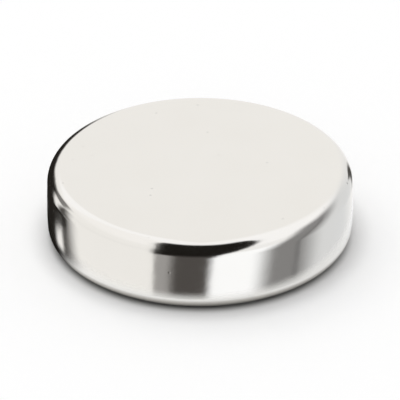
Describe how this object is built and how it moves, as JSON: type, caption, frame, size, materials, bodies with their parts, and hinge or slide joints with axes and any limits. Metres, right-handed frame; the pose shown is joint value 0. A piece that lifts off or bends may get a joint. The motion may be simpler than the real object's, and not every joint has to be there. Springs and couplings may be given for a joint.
{
  "type": "disc magnet",
  "caption": "Plain solid disc magnet with flat pole faces, a straight rim, rounded edges and bright nickel plating, for holding, latching or setting in a round pocket.",
  "frame": {"origin": "middle of the lower pole face, on the disc's axis", "axes": "+Z along the disc's axis, from the lower pole face to the upper one; X and Y across the disc, which is the same all round"},
  "size_m": [0.012, 0.012, 0.003],
  "materials": {
    "nickel_plating": "bright nickel plating, mirror-like, slightly warm"
  },
  "bodies": {
    "root": {"disc_magnet": "nickel_plating"}
  },
  "joints": []
}
